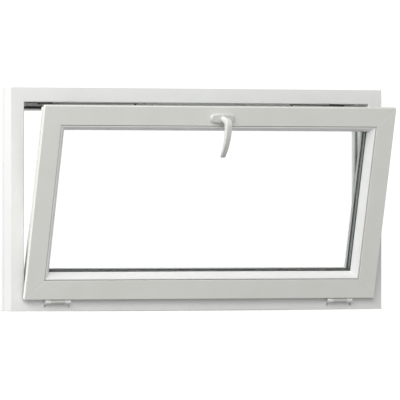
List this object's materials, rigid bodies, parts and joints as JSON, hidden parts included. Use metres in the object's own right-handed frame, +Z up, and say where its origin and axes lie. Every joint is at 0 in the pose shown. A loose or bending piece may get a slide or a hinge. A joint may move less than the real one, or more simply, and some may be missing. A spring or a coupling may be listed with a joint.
{
  "type": "bottom-hung window sash in its frame",
  "caption": "White plastic bottom-hung window: mitred outer frame and a double-glazed sash tilted into the room, with a lever handle, two hinges and folding stays.",
  "frame": {"origin": "middle of the underside of the fixed frame, on the face that rests on the wall's sill", "axes": "+X to the right as seen from the room, -Y out of the window into the room, +Z up"},
  "size_m": [1.2, 0.2901, 0.65],
  "materials": {
    "white_pvc": "satin white PVC",
    "black_seal": "matt black rubber",
    "window_glass": "clear float glass",
    "spacer_alloy": "bare",
    "edge_sealant": "matt grey-black sealant",
    "packer_plastic": "moulded",
    "handle_white": "white powder coat",
    "hinge_white": "white powder coat",
    "cap_white": "moulded white",
    "galvanised_steel": "galvanised",
    "zinc_hardware": "zinc plated"
  },
  "bodies": {
    "frame": {"drain_caps": "cap_white", "frame_gasket": "black_seal", "frame_head": "white_pvc", "frame_jamb_left": "white_pvc", "frame_jamb_right": "white_pvc", "frame_sill": "white_pvc", "frame_steel_bars": "galvanised_steel", "hinge_bracket_screws": "zinc_hardware", "hinge_caps": "hinge_white", "hinge_frame_bracket_left": "hinge_white", "hinge_frame_bracket_right": "hinge_white", "hinge_pin_left": "zinc_hardware", "hinge_pin_right": "zinc_hardware", "stay_bracket_left": "zinc_hardware", "stay_bracket_right": "zinc_hardware", "stay_bracket_screws": "zinc_hardware", "striker_left": "zinc_hardware", "striker_right": "zinc_hardware", "striker_screws": "zinc_hardware"},
    "sash": {"faceplate": "zinc_hardware", "faceplate_screws": "zinc_hardware", "gearbox_case": "zinc_hardware", "gearbox_cover": "zinc_hardware", "glass_edge_seal": "edge_sealant", "glass_pane_inner": "window_glass", "glass_pane_outer": "window_glass", "glass_spacer_bar": "spacer_alloy", "glazing_bead_bottom": "white_pvc", "glazing_bead_left": "white_pvc", "glazing_bead_right": "white_pvc", "glazing_bead_top": "white_pvc", "glazing_gasket_inner": "black_seal", "glazing_gasket_outer": "black_seal", "handle_base": "handle_white", "handle_rosette": "handle_white", "handle_screws": "zinc_hardware", "hinge_leaf_screws": "zinc_hardware", "hinge_sash_leaf_left": "hinge_white", "hinge_sash_leaf_right": "hinge_white", "overlap_gasket": "black_seal", "sash_bottom_rail": "white_pvc", "sash_steel_bars": "galvanised_steel", "sash_stile_left": "white_pvc", "sash_stile_right": "white_pvc", "sash_top_rail": "white_pvc", "setting_blocks": "packer_plastic", "stay_guide_plates": "zinc_hardware", "stay_guide_screws": "zinc_hardware"},
    "handle": {"handle_lever": "handle_white", "handle_spindle": "zinc_hardware", "gearbox_pinion": "zinc_hardware"},
    "lock_rod": {"drive_rod": "zinc_hardware", "lock_cams": "zinc_hardware"},
    "left_stay": {"stay_arm_left": "zinc_hardware", "stay_guide_pin_left": "zinc_hardware"},
    "right_stay": {"stay_arm_right": "zinc_hardware", "stay_guide_pin_right": "zinc_hardware"}
  },
  "joints": [
    {"name": "sash_tilt", "type": "hinge", "parent": "frame", "child": "sash", "pos_m": [0, -0.046, 0.027], "axis": [1, 0, 0], "range_deg": [-15, 0]},
    {"name": "handle_turn", "type": "hinge", "parent": "sash", "child": "handle", "pos_m": [0, -0.19641, 0.56128], "axis": [0, -0.9659, -0.2588], "range_deg": [0, 90]},
    {"name": "lock_slide", "type": "slide", "parent": "sash", "child": "lock_rod", "axis": [-1, 0, 0], "range_m": [0, 0.01257]},
    {"name": "left_stay_swing", "type": "hinge", "parent": "frame", "child": "left_stay", "pos_m": [-0.49, 0.007, 0.6], "axis": [0, 0, -1], "range_deg": [-31.9, 0]},
    {"name": "right_stay_swing", "type": "hinge", "parent": "frame", "child": "right_stay", "pos_m": [0.49, 0.007, 0.6], "axis": [0, 0, 1], "range_deg": [-31.9, 0]}
  ],
  "couplings": [
    {"joint": "lock_slide", "follows": "handle_turn", "m_per_rad": 0.008},
    {"joint": "left_stay_swing", "follows": "sash_tilt", "ratio": 2.1267},
    {"joint": "right_stay_swing", "follows": "sash_tilt", "ratio": 2.1267}
  ]
}
